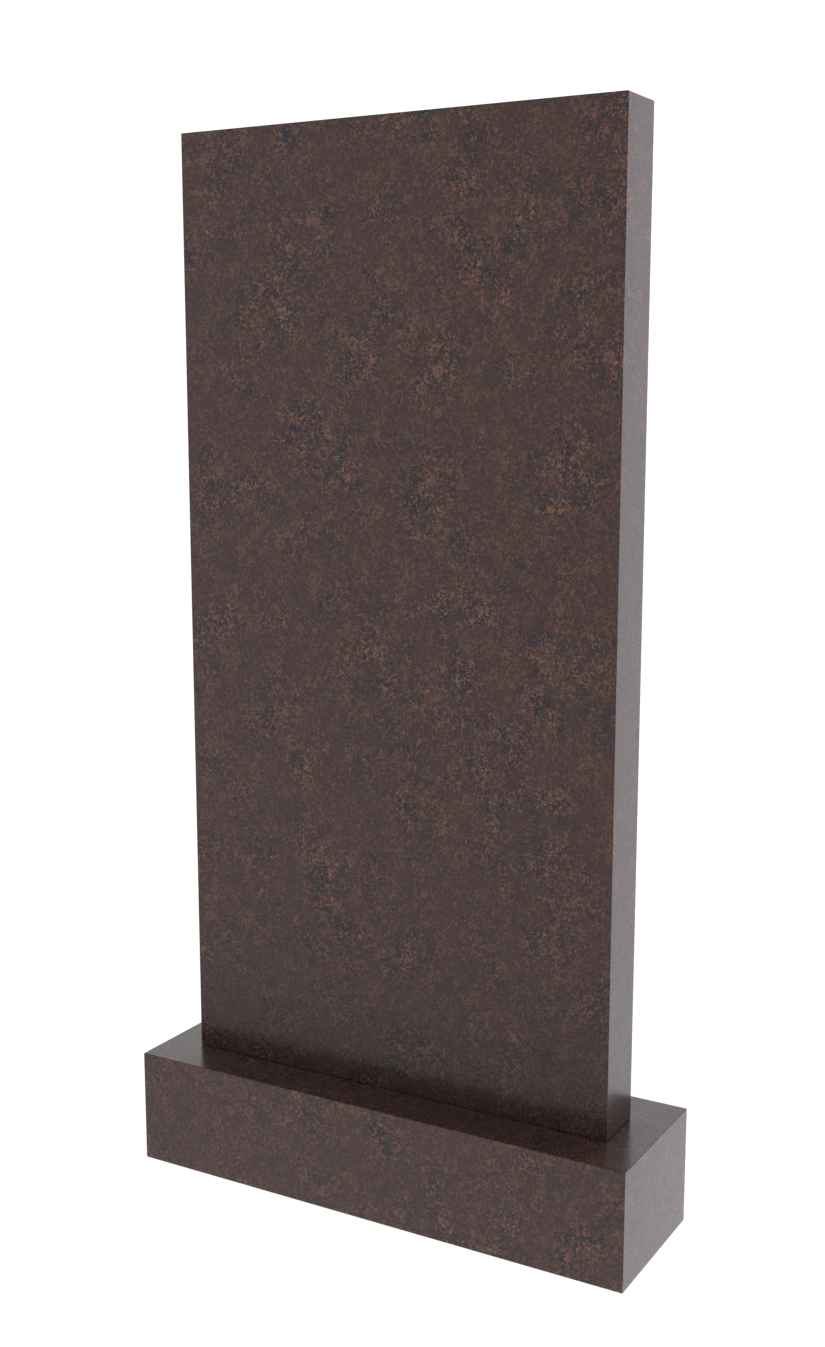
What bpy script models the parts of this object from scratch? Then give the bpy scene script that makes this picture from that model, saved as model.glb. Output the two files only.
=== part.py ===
"""Upright headstone: a plain polished granite slab standing on a plinth of the same stone.

Metres, +Z up. The origin is the centre of the plinth's underside, and the inscription side faces -Y.
"""

import bpy
from mathutils import Vector

# The upright slab
SLAB_WIDTH = 0.600
SLAB_HEIGHT = 1.200
SLAB_THICKNESS = 0.075
SLAB_EDGE_RADIUS = 0.0012

# The plinth: its height, and the ledge of it that shows around the slab's foot
PLINTH_HEIGHT = 0.150
SIDE_LEDGE = 0.050
FACE_LEDGE = 0.0625
PLINTH_EDGE_RADIUS = 0.001

# The thin bed between the plinth's top and the slab's foot
BED_GAP = 0.0003

# Segments of each rounded edge
EDGE_SEGMENTS = 3

# Red-brown granite as linear red, green and blue
GRANITE_COLOUR = (0.100, 0.055, 0.043, 1.0)
GRANITE_ROUGHNESS = 0.235


def clear_scene():
    """Remove whatever the file was opened with."""
    for obj in list(bpy.data.objects):
        bpy.data.objects.remove(obj, do_unlink=True)


def new_collection(name):
    """A collection of its own for the headstone's pieces."""
    collection = bpy.data.collections.new(name)
    bpy.context.scene.collection.children.link(collection)
    return collection


def polished_granite(name):
    """The stone's plain colour and polish."""
    material = bpy.data.materials.new(name)
    material.use_nodes = True
    shader = material.node_tree.nodes["Principled BSDF"]
    shader.inputs["Base Color"].default_value = GRANITE_COLOUR
    shader.inputs["Roughness"].default_value = GRANITE_ROUGHNESS
    shader.inputs["Metallic"].default_value = 0.0
    return material


def stone_block(collection, name, size, foot, edge_radius):
    """A squared block with eased edges. size is its width, depth and height, and foot its underside's centre."""
    bpy.ops.mesh.primitive_cube_add(size=1.0)
    block = bpy.context.active_object
    block.name = name
    block.data.name = name
    block.scale = size
    bpy.ops.object.transform_apply(location=False, rotation=False, scale=True)
    block.location = Vector(foot) + Vector((0.0, 0.0, size[2] / 2))

    easing = block.modifiers.new("eased_edges", "BEVEL")
    easing.width = edge_radius
    easing.segments = EDGE_SEGMENTS
    easing.limit_method = "ANGLE"
    easing.harden_normals = True
    block.data.shade_smooth()

    for owner in list(block.users_collection):
        owner.objects.unlink(block)
    collection.objects.link(block)
    block.data.materials.append(polished_granite(name + "_granite"))
    return block


def make_plinth(collection):
    """The base block, wide and deep enough for its ledges around the slab."""
    width = SLAB_WIDTH + 2 * SIDE_LEDGE
    depth = SLAB_THICKNESS + 2 * FACE_LEDGE
    size = (width, depth, PLINTH_HEIGHT)
    return stone_block(collection, "plinth", size, (0.0, 0.0, 0.0), PLINTH_EDGE_RADIUS)


def make_upright_slab(collection):
    """The slab, bedded on the middle of the plinth's top."""
    size = (SLAB_WIDTH, SLAB_THICKNESS, SLAB_HEIGHT)
    foot = (0.0, 0.0, PLINTH_HEIGHT + BED_GAP)
    return stone_block(collection, "upright_slab", size, foot, SLAB_EDGE_RADIUS)


def main():
    clear_scene()
    headstone = new_collection("upright_headstone")
    make_plinth(headstone)
    make_upright_slab(headstone)


main()
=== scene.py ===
"""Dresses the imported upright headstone: polished granite on the slab and its plinth, in a pale studio."""

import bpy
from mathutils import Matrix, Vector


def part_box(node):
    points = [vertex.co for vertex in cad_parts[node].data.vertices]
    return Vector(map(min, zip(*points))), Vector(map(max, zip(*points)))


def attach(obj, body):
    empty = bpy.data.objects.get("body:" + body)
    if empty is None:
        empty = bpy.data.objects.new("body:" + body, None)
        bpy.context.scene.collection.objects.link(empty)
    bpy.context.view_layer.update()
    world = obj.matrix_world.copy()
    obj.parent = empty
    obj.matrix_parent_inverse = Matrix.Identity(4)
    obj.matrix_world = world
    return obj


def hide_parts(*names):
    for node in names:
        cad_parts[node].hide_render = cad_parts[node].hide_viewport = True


bl_info = {
    "name": "Upright Headstone",
    "version": (1, 0, 0),
    "blender": (4, 5, 0),
    "location": "3D View > Sidebar > Headstone",
    "description": "Polished granite headstone slab and plinth, with a pale studio round them",
    "category": "Add Mesh",
}

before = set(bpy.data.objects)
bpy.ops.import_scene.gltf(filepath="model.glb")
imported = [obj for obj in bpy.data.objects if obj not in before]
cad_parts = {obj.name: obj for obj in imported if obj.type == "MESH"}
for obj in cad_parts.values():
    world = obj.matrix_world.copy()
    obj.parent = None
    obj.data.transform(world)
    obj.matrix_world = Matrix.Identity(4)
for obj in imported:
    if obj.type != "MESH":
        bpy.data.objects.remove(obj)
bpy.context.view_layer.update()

import math

import bmesh
import bpy
from bpy.props import FloatProperty, FloatVectorProperty, IntProperty, PointerProperty

# Where in the quarried block each piece is cut, in metres, and how the block is turned, in radians
SLAB_CUT = (0.0, 0.0, 0.0)
PLINTH_CUT = (1.3, 0.7, 2.1)
GRAIN_TURN = (0.6, 0.9, 0.4)

# Offsets in metres that keep the patterns made by like noises apart
DRIFT_START = (4.1, 6.3, 1.9)
MICA_START = (3.1, 1.7, 5.3)
CLOUD_START = (2.5, 0.0, 3.8)

# Detail and roughness of each noise
PUSH_NOISE = (2.0, 0.6)
PATCH_NOISE = (3.0, 1.0)
DRIFT_NOISE = (1.0, 0.8)
MICA_NOISE = (3.0, 0.7)
CLOUD_NOISE = (4.0, 0.75)

# Mean of a noise, and of a random number or colour channel
MEAN = 0.5

# Tones at which the feldspar, and the mica and quartz, have each of their colours
FELDSPAR_TONES = (0.25, 0.5, 0.71, 0.87)
QUARTZ_TONES = (0.3, 0.63, 0.96)

# Where each smooth step between two kinds of place begins and ends
MICA_EDGE = (0.515, 0.595)
CURL_INSIDE = (0.2, 0.26)
CURL_OUTSIDE = (0.4, 0.32)
CURL_MINERALS = (0.42, 0.52)
CURL_SOFTNESS = 0.025
CLOUD_EDGE = (0.42, 0.8)

# Numbers of the nodes' sockets
OBJECT_PLACE = 3
NOISE_COLOUR = 1
CELL_DISTANCE = 0
CELL_COLOUR = 1
DOT_PRODUCT = 1
MIX_FIRST = 6
MIX_SECOND = 7
MIX_RESULT = 2
RED = 0
GREEN = 1

# Where the soft lights are, as directions from the stone
LEFT = (-1.0, 0.0, 0.0)
BEHIND = (0.0, 1.0, 0.0)
FRONT = (0.0, -1.0, 0.0)
BELOW = (0.0, 0.0, -1.0)
OVERHEAD = (0.0, 0.0, 1.0)
LOW_RIGHT = (0.9, -0.25, -0.35)

# Weight of the large faces in the smooth shading: 50 is neutral, and 100 keeps the flat faces flat
FACE_WEIGHT = 100

FLOOR_SIDES = 96
WHITE = (1.0, 1.0, 1.0, 1.0)


def colour(name, description, default):
    """A colour setting, in linear red, green and blue."""
    return FloatVectorProperty(
        name=name, description=description, subtype="COLOR", size=3, min=0.0, max=1.0, default=default
    )


def length(name, description, default):
    """A length setting, in metres."""
    return FloatProperty(name=name, description=description, unit="LENGTH", min=0.0, default=default)


def amount(name, description, default, highest=1.0):
    """A plain number from nothing up to the highest."""
    return FloatProperty(name=name, description=description, min=0.0, max=highest, default=default)


class GraniteSettings(bpy.types.PropertyGroup):
    """Minerals, grain and finish of the stone. Its tone goes from 0, darkest, to 1, palest."""

    ground: colour("Ground", "Muddy brown that shows where the grain is faint", (0.097, 0.0537, 0.042))
    dark_feldspar: colour("Dark feldspar", "Purple-brown of the darkest feldspar", (0.0236, 0.0261, 0.0302))
    feldspar: colour("Feldspar", "Red-brown of the common feldspar", (0.0836, 0.0491, 0.0404))
    bright_feldspar: colour("Bright feldspar", "Orange-brown of the bright feldspar", (0.246, 0.0856, 0.035))
    pale_feldspar: colour("Pale feldspar", "Pink of the palest feldspar", (0.3296, 0.1592, 0.1))
    mica: colour("Mica", "Blue-black of the mica and hornblende", (0.0143, 0.0251, 0.033))
    smoky_quartz: colour("Smoky quartz", "Blue-grey of the common quartz", (0.0396, 0.0503, 0.0583))
    quartz: colour("Quartz", "Light blue-grey of the palest quartz", (0.1187, 0.1363, 0.1431))

    crystal_size: length("Crystal size", "Width of a common crystal", 0.0026)
    speck_size: length("Speck size", "Width of the smallest crystals", 0.0015)
    patch_size: length("Patch size", "Width of a patch of like crystals", 0.0075)
    drift_size: length("Drift size", "Width of the lighter and darker areas", 0.026)
    mica_size: length("Mica size", "Width of the patches of mica and quartz", 0.008)
    curl_size: length("Curl size", "Spacing of the curled feldspar crystals", 0.022)
    cloud_size: length("Cloud size", "Width of the areas where the grain shows strongly or faintly", 0.07)

    tone: amount("Tone", "Mean tone of the stone", 0.48)
    patch_contrast: amount("Patch contrast", "How far the tone varies from patch to patch", 1.1, 4.0)
    crystal_contrast: amount("Crystal contrast", "How far the tone varies from crystal to crystal", 0.6, 4.0)
    speck_contrast: amount("Speck contrast", "How far the tone varies from speck to speck", 0.58, 4.0)
    drift_contrast: amount("Drift contrast", "How far the tone varies from area to area", 0.6, 4.0)
    mica_scatter: amount("Mica scatter", "How far single crystals stray over the edge of a mica patch", 0.35)
    mica_cover: amount("Mica cover", "How fully mica and quartz hide the feldspar", 0.8)
    curl_share: amount("Curl share", "Share of the places for a curl that have one", 0.225)
    curl_cover: amount("Curl cover", "How fully a curl hides the stone behind it", 0.55)
    faint_grain: amount("Faint grain", "Strength of the grain where it shows least", 0.37, 2.0)
    strong_grain: amount("Strong grain", "Strength of the grain where it shows most", 1.24, 2.0)

    polish: amount("Polish", "Roughness of the polished faces", 0.235)
    sawn: amount("Sawn", "Roughness of the sawn undersides", 0.75)
    dust: colour("Dust", "Colour of the stone dust in the saw marks", (0.3, 0.27, 0.26))
    dust_cover: amount("Dust cover", "How fully the dust hides the sawn stone", 0.35)
    refraction: amount("Refraction", "Index of refraction of the polished stone", 1.5, 3.0)


class BlockSettings(bpy.types.PropertyGroup):
    """Eased edges of the two blocks."""

    slab_edge: length("Slab edge", "Radius of the slab's eased edges", 0.0012)
    plinth_edge: length("Plinth edge", "Radius of the plinth's eased edges", 0.001)
    edge_segments: IntProperty(
        name="Edge segments", description="Strips across each eased edge", min=1, default=4
    )


class StudioSettings(bpy.types.PropertyGroup):
    """Floor, lights and camera."""

    floor: colour("Floor", "Colour of the pale floor", (0.3, 0.3, 0.3))
    floor_glow: amount("Floor glow", "Brightness of the floor's own white glow", 0.93, 10.0)
    floor_radius: length("Floor radius", "Radius of the round floor", 30.0)
    backdrop: amount("Backdrop", "Brightness of the plain white backdrop", 1.2, 10.0)
    light: colour("Light", "Tint of the soft lights", (0.948, 0.943, 1.0))
    left: amount("Left", "Brightness of the broad light on the left", 0.92, 10.0)
    behind: amount("Behind", "Brightness of the broad light behind the stone", 1.56, 10.0)
    front: amount("Front", "Brightness of the broad light in front", 0.36, 10.0)
    below: amount("Below", "Brightness of the broad light that comes through the floor", 1.02, 10.0)
    underneath: amount("Underneath", "Brightness of the narrow light under the floor", 6.3, 10.0)
    overhead: amount("Overhead", "Brightness of the narrow light overhead", 1.07, 10.0)
    right: amount("Right", "Brightness of the narrow light low on the right", 0.7, 10.0)
    broad: amount("Broad", "Power of the cosine that shapes a broad light", 2.0, 64.0)
    narrow: amount("Narrow", "Power of the cosine that shapes a narrow light", 8.0, 64.0)
    lens: FloatProperty(name="Lens", description="Focal length in millimetres", min=1.0, default=43.9)
    sensor: FloatProperty(
        name="Sensor", description="Sensor's long side in millimetres", min=1.0, default=36.0
    )
    place: FloatVectorProperty(
        name="Place", description="Where the camera stands", subtype="XYZ", unit="LENGTH",
        default=(1.0124, -1.7456, 1.0309),
    )
    turn: FloatProperty(
        name="Turn", description="Angle that the camera is turned left of +Y", subtype="ANGLE",
        default=math.radians(29.816),
    )
    tilt: FloatProperty(
        name="Tilt", description="Angle that the camera looks down", subtype="ANGLE",
        default=math.radians(9.698),
    )


class HeadstoneSettings(bpy.types.PropertyGroup):
    """All the headstone's settings."""

    granite: PointerProperty(type=GraniteSettings)
    blocks: PointerProperty(type=BlockSettings)
    studio: PointerProperty(type=StudioSettings)


class Wire:
    """A shader socket that can stand in a sum: each operator adds a Math node."""

    def __init__(self, net, socket):
        self.net = net
        self.socket = socket

    def __add__(self, other):
        return self.net.maths("ADD", self, other)

    __radd__ = __add__

    def __sub__(self, other):
        return self.net.maths("SUBTRACT", self, other)

    def __rsub__(self, other):
        return self.net.maths("SUBTRACT", other, self)

    def __mul__(self, other):
        return self.net.maths("MULTIPLY", self, other)

    __rmul__ = __mul__


class Net:
    """The node tree of one material or world."""

    def __init__(self, owner):
        owner.use_nodes = True
        self.tree = owner.node_tree
        self.tree.nodes.clear()

    def node(self, kind, settings=None, inputs=None, output=0):
        """Add a node: its settings first, then the values or wires of its sockets."""
        made = self.tree.nodes.new(kind)
        for name, value in (settings or {}).items():
            if name == "stops":
                self.set_stops(made.color_ramp, value)
            else:
                setattr(made, name, value)
        for name, value in (inputs or {}).items():
            if isinstance(value, Wire):
                self.tree.links.new(value.socket, made.inputs[name])
            else:
                made.inputs[name].default_value = value
        return Wire(self, made.outputs[output]) if len(made.outputs) else made

    @staticmethod
    def set_stops(ramp, stops):
        """Give a colour ramp its stops, as pairs of place and colour."""
        while len(ramp.elements) < len(stops):
            ramp.elements.new(1.0)
        for element, (place, shade) in zip(ramp.elements, stops):
            element.position = place
            element.color = (*shade, 1.0)

    def maths(self, operation, *values):
        """One Math node."""
        return self.node("ShaderNodeMath", {"operation": operation}, dict(enumerate(values)))

    def step(self, value, low, high, start=0.0, end=1.0):
        """A smooth step from start to end as the value goes from low to high."""
        return self.node(
            "ShaderNodeMapRange",
            {"interpolation_type": "SMOOTHSTEP"},
            {"Value": value, "From Min": low, "From Max": high, "To Min": start, "To Max": end},
        )

    def blend(self, share, first, second):
        """A colour between the first and the second."""
        sockets = {0: share, MIX_FIRST: opaque(first), MIX_SECOND: opaque(second)}
        return self.node("ShaderNodeMix", {"data_type": "RGBA"}, sockets, MIX_RESULT)

    def ramp(self, value, places, shades):
        """A colour that goes through the shades, each at its place."""
        stops = [(place, tuple(shade)) for place, shade in zip(places, shades)]
        return self.node("ShaderNodeValToRGB", {"stops": stops}, {0: value})

    def noise(self, place, size, detail, roughness, output=0):
        """Soft noise whose features are about one size across, from 0 to 1."""
        sockets = {"Vector": place, "Scale": 1.0 / size, "Detail": detail, "Roughness": roughness}
        return self.node("ShaderNodeTexNoise", None, sockets, output)

    def cells(self, place, size, output):
        """Random cells about one size across: how far their middle is, or the colour of each."""
        return self.node("ShaderNodeTexVoronoi", None, {"Vector": place, "Scale": 1.0 / size}, output)

    def channel(self, shade, number=RED):
        """One of a random colour's three channels, which serves as a random number."""
        return self.node("ShaderNodeSeparateColor", None, {0: shade}, number)

    def shifted(self, place, offset):
        """The same place moved by an offset, given as a vector or a wire."""
        return self.node("ShaderNodeVectorMath", {"operation": "ADD"}, {0: place, 1: offset})

    def scaled(self, vector, factor):
        """A vector made longer or shorter."""
        return self.node("ShaderNodeVectorMath", {"operation": "SCALE"}, {0: vector, "Scale": factor})


def opaque(shade):
    """A wire as it is, or three numbers as a colour without transparency."""
    return shade if isinstance(shade, Wire) else (*shade, 1.0)


def feldspar_shade(net, look, tone):
    """Feldspar from purple-brown through orange to pink, as the tone rises."""
    shades = (look.dark_feldspar, look.feldspar, look.bright_feldspar, look.pale_feldspar)
    return net.ramp(tone, FELDSPAR_TONES, shades)


def mica_shade(net, look, tone):
    """Mica and quartz from blue-black to light blue-grey, as the tone rises."""
    return net.ramp(tone, QUARTZ_TONES, (look.mica, look.smoky_quartz, look.quartz))


def block_place(net, start):
    """A place on the piece as a place in the quarried block that it was cut from."""
    place = net.node("ShaderNodeTexCoord", output=OBJECT_PLACE)
    return net.node("ShaderNodeMapping", None, {"Vector": place, "Location": start, "Rotation": GRAIN_TURN})


def pushed_place(net, look, place):
    """The same place pushed a little to and fro, so that no crystal has straight sides."""
    push = net.noise(place, look.patch_size, *PUSH_NOISE, NOISE_COLOUR)
    push = net.shifted(push, (-MEAN, -MEAN, -MEAN))
    return net.shifted(place, net.scaled(push, look.patch_size))


def stone_tone(net, look, place, pushed, crystals):
    """How dark or pale the stone is at each place, from its patches, crystals, specks and drifts."""
    patch = net.noise(pushed, look.patch_size, *PATCH_NOISE)
    crystal = net.channel(crystals)
    speck = net.channel(net.cells(pushed, look.speck_size, CELL_COLOUR))
    drift = net.noise(net.shifted(place, DRIFT_START), look.drift_size, *DRIFT_NOISE)
    return (
        look.tone
        + (patch - MEAN) * look.patch_contrast
        + (crystal - MEAN) * look.crystal_contrast
        + (speck - MEAN) * look.speck_contrast
        + (drift - MEAN) * look.drift_contrast
    )


def curl_mask(net, look, pushed, minerals):
    """Where the curled crystals are: rings round the middles of some cells, in and near the mica."""
    distance = net.cells(pushed, look.curl_size, CELL_DISTANCE)
    chance = net.channel(net.cells(pushed, look.curl_size, CELL_COLOUR))
    least = 1.0 - look.curl_share
    ring = net.step(distance, *CURL_INSIDE) * net.step(distance, *CURL_OUTSIDE)
    curl = ring * net.step(chance, least - CURL_SOFTNESS, least + CURL_SOFTNESS)
    return curl * net.step(minerals, *CURL_MINERALS)


def granite_colour(net, look, start):
    """The stone's colour: feldspar, mica, quartz and curls, strong in some areas and faint in others."""
    place = block_place(net, start)
    pushed = pushed_place(net, look, place)
    crystals = net.cells(pushed, look.crystal_size, CELL_COLOUR)
    tone = stone_tone(net, look, place, pushed, crystals)

    minerals = net.noise(net.shifted(pushed, MICA_START), look.mica_size, *MICA_NOISE)
    scatter = (net.channel(crystals, GREEN) - MEAN) * look.mica_scatter
    mica = net.step(minerals + scatter, *MICA_EDGE)
    stone = net.blend(mica * look.mica_cover, feldspar_shade(net, look, tone), mica_shade(net, look, tone))

    curls = curl_mask(net, look, pushed, minerals)
    stone = net.blend(curls * look.curl_cover, stone, look.pale_feldspar)

    clouds = net.noise(net.shifted(place, CLOUD_START), look.cloud_size, *CLOUD_NOISE)
    strength = net.step(clouds, *CLOUD_EDGE, look.faint_grain, look.strong_grain)
    return net.blend(strength, look.ground, stone)


def polished_granite(start):
    """Polished granite, cut at one place in the quarried block."""
    look = bpy.context.scene.headstone.granite
    material = bpy.data.materials.new("polished_granite")
    net = Net(material)
    stone = granite_colour(net, look, start)
    shader = net.node(
        "ShaderNodeBsdfPrincipled",
        None,
        {"Base Color": stone, "Roughness": look.polish, "IOR": look.refraction},
    )
    net.node("ShaderNodeOutputMaterial", None, {"Surface": shader})
    return material


def sawn_granite(start):
    """The same stone as the saw left it, rough and with dust in its marks."""
    look = bpy.context.scene.headstone.granite
    material = bpy.data.materials.new("sawn_granite")
    net = Net(material)
    stone = net.blend(look.dust_cover, granite_colour(net, look, start), look.dust)
    shader = net.node("ShaderNodeBsdfPrincipled", None, {"Base Color": stone, "Roughness": look.sawn})
    net.node("ShaderNodeOutputMaterial", None, {"Surface": shader})
    return material


def stone_block(name, node, edge, start):
    """A squared block with eased edges in a CAD node's place, polished all round and sawn underneath."""
    low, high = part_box(node)
    bm = bmesh.new()
    bmesh.ops.create_cube(bm, size=1.0)
    bmesh.ops.scale(bm, vec=high - low, verts=bm.verts)
    bmesh.ops.translate(bm, vec=(low + high) / 2, verts=bm.verts)
    segments = bpy.context.scene.headstone.blocks.edge_segments
    bmesh.ops.bevel(
        bm, geom=bm.edges[:], offset=edge, segments=segments, profile=0.5, affect="EDGES", clamp_overlap=True
    )
    for face in bm.faces:
        face.smooth = True
    underside = min(bm.faces, key=lambda face: face.calc_center_median().z)
    underside.material_index = 1
    mesh = bpy.data.meshes.new(name)
    bm.to_mesh(mesh)
    bm.free()
    mesh.materials.append(polished_granite(start))
    mesh.materials.append(sawn_granite(start))

    block = bpy.data.objects.new(name, mesh)
    bpy.context.scene.collection.objects.link(block)
    flats = block.modifiers.new("flat_faces", "WEIGHTED_NORMAL")
    flats.weight = FACE_WEIGHT
    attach(block, "root")
    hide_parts(node)


class HEADSTONE_OT_upright_slab(bpy.types.Operator):
    """Make the upright slab in polished granite"""

    bl_idname = "headstone.upright_slab"
    bl_label = "Upright slab"

    def execute(self, context):
        blocks = context.scene.headstone.blocks
        stone_block("granite_slab", "upright_slab", blocks.slab_edge, SLAB_CUT)
        return {"FINISHED"}


class HEADSTONE_OT_plinth(bpy.types.Operator):
    """Make the plinth in polished granite"""

    bl_idname = "headstone.plinth"
    bl_label = "Plinth"

    def execute(self, context):
        blocks = context.scene.headstone.blocks
        stone_block("granite_plinth", "plinth", blocks.plinth_edge, PLINTH_CUT)
        return {"FINISHED"}


def make_floor(studio):
    """A round pale floor under the plinth that only the camera sees, so it throws nothing on the stone."""
    bm = bmesh.new()
    bmesh.ops.create_circle(bm, cap_ends=True, radius=studio.floor_radius, segments=FLOOR_SIDES)
    mesh = bpy.data.meshes.new("floor")
    bm.to_mesh(mesh)
    bm.free()
    material = bpy.data.materials.new("pale_floor")
    net = Net(material)
    shader = net.node(
        "ShaderNodeBsdfPrincipled",
        None,
        {
            "Base Color": opaque(studio.floor),
            "Roughness": 1.0,
            "Specular IOR Level": 0.0,
            "Emission Color": WHITE,
            "Emission Strength": studio.floor_glow,
        },
    )
    net.node("ShaderNodeOutputMaterial", None, {"Surface": shader})
    mesh.materials.append(material)
    floor = bpy.data.objects.new("floor", mesh)
    floor.visible_diffuse = False
    floor.visible_glossy = False
    floor.visible_transmission = False
    floor.visible_shadow = False
    bpy.context.scene.collection.objects.link(floor)


def make_lights(studio):
    """Soft light from the sides, above and below, and a plain white backdrop that lights nothing."""
    world = bpy.data.worlds.new("soft_lights")
    bpy.context.scene.world = world
    net = Net(world)
    direction = net.node("ShaderNodeTexCoord")
    lights = (
        (LEFT, studio.broad, studio.left),
        (BEHIND, studio.broad, studio.behind),
        (FRONT, studio.broad, studio.front),
        (BELOW, studio.broad, studio.below),
        (BELOW, studio.narrow, studio.underneath),
        (OVERHEAD, studio.narrow, studio.overhead),
        (LOW_RIGHT, studio.narrow, studio.right),
    )
    brightness = 0.0
    for towards, narrowness, strength in lights:
        sockets = {0: direction, 1: towards}
        facing = net.node("ShaderNodeVectorMath", {"operation": "DOT_PRODUCT"}, sockets, DOT_PRODUCT)
        facing = net.maths("MAXIMUM", facing, 0.0)
        brightness = brightness + net.maths("POWER", facing, narrowness) * strength
    in_view = net.node("ShaderNodeLightPath")
    brightness = brightness * (1.0 - in_view) + in_view * studio.backdrop
    light = net.node("ShaderNodeBackground", None, {"Color": opaque(studio.light), "Strength": brightness})
    net.node("ShaderNodeOutputWorld", None, {"Surface": light})


def make_camera(studio):
    """The camera, in front of the headstone and to its right."""
    data = bpy.data.cameras.new("camera")
    data.sensor_width = studio.sensor
    data.lens = studio.lens
    camera = bpy.data.objects.new("camera", data)
    camera.location = studio.place
    camera.rotation_euler = (math.pi / 2 - studio.tilt, 0.0, studio.turn)
    bpy.context.scene.collection.objects.link(camera)
    bpy.context.scene.camera = camera


class HEADSTONE_OT_stage(bpy.types.Operator):
    """Make the floor, the light and the camera"""

    bl_idname = "headstone.stage"
    bl_label = "Stage"

    def execute(self, context):
        studio = context.scene.headstone.studio
        make_floor(studio)
        make_lights(studio)
        make_camera(studio)
        context.scene.view_settings.view_transform = "Standard"
        return {"FINISHED"}


class HEADSTONE_PT_sidebar(bpy.types.Panel):
    """Lists the headstone's pieces and settings"""

    bl_label = "Upright Headstone"
    bl_idname = "HEADSTONE_PT_sidebar"
    bl_space_type = "VIEW_3D"
    bl_region_type = "UI"
    bl_category = "Headstone"

    def draw(self, context):
        settings = context.scene.headstone
        groups = (
            (settings.blocks, (HEADSTONE_OT_upright_slab, HEADSTONE_OT_plinth)),
            (settings.granite, ()),
            (settings.studio, (HEADSTONE_OT_stage,)),
        )
        for group, operators in groups:
            box = self.layout.box()
            for name in group.bl_rna.properties.keys():
                if name not in {"rna_type", "name"}:
                    box.prop(group, name)
            for operator in operators:
                box.operator(operator.bl_idname)


CLASSES = (
    GraniteSettings,
    BlockSettings,
    StudioSettings,
    HeadstoneSettings,
    HEADSTONE_OT_upright_slab,
    HEADSTONE_OT_plinth,
    HEADSTONE_OT_stage,
    HEADSTONE_PT_sidebar,
)


def register():
    for cls in CLASSES:
        bpy.utils.register_class(cls)
    bpy.types.Scene.headstone = PointerProperty(type=HeadstoneSettings)


def unregister():
    del bpy.types.Scene.headstone
    for cls in reversed(CLASSES):
        bpy.utils.unregister_class(cls)


def main():
    """Make the headstone and its stage."""
    register()
    bpy.ops.headstone.upright_slab()
    bpy.ops.headstone.plinth()
    bpy.ops.headstone.stage()


if __name__ == "__main__":
    main()
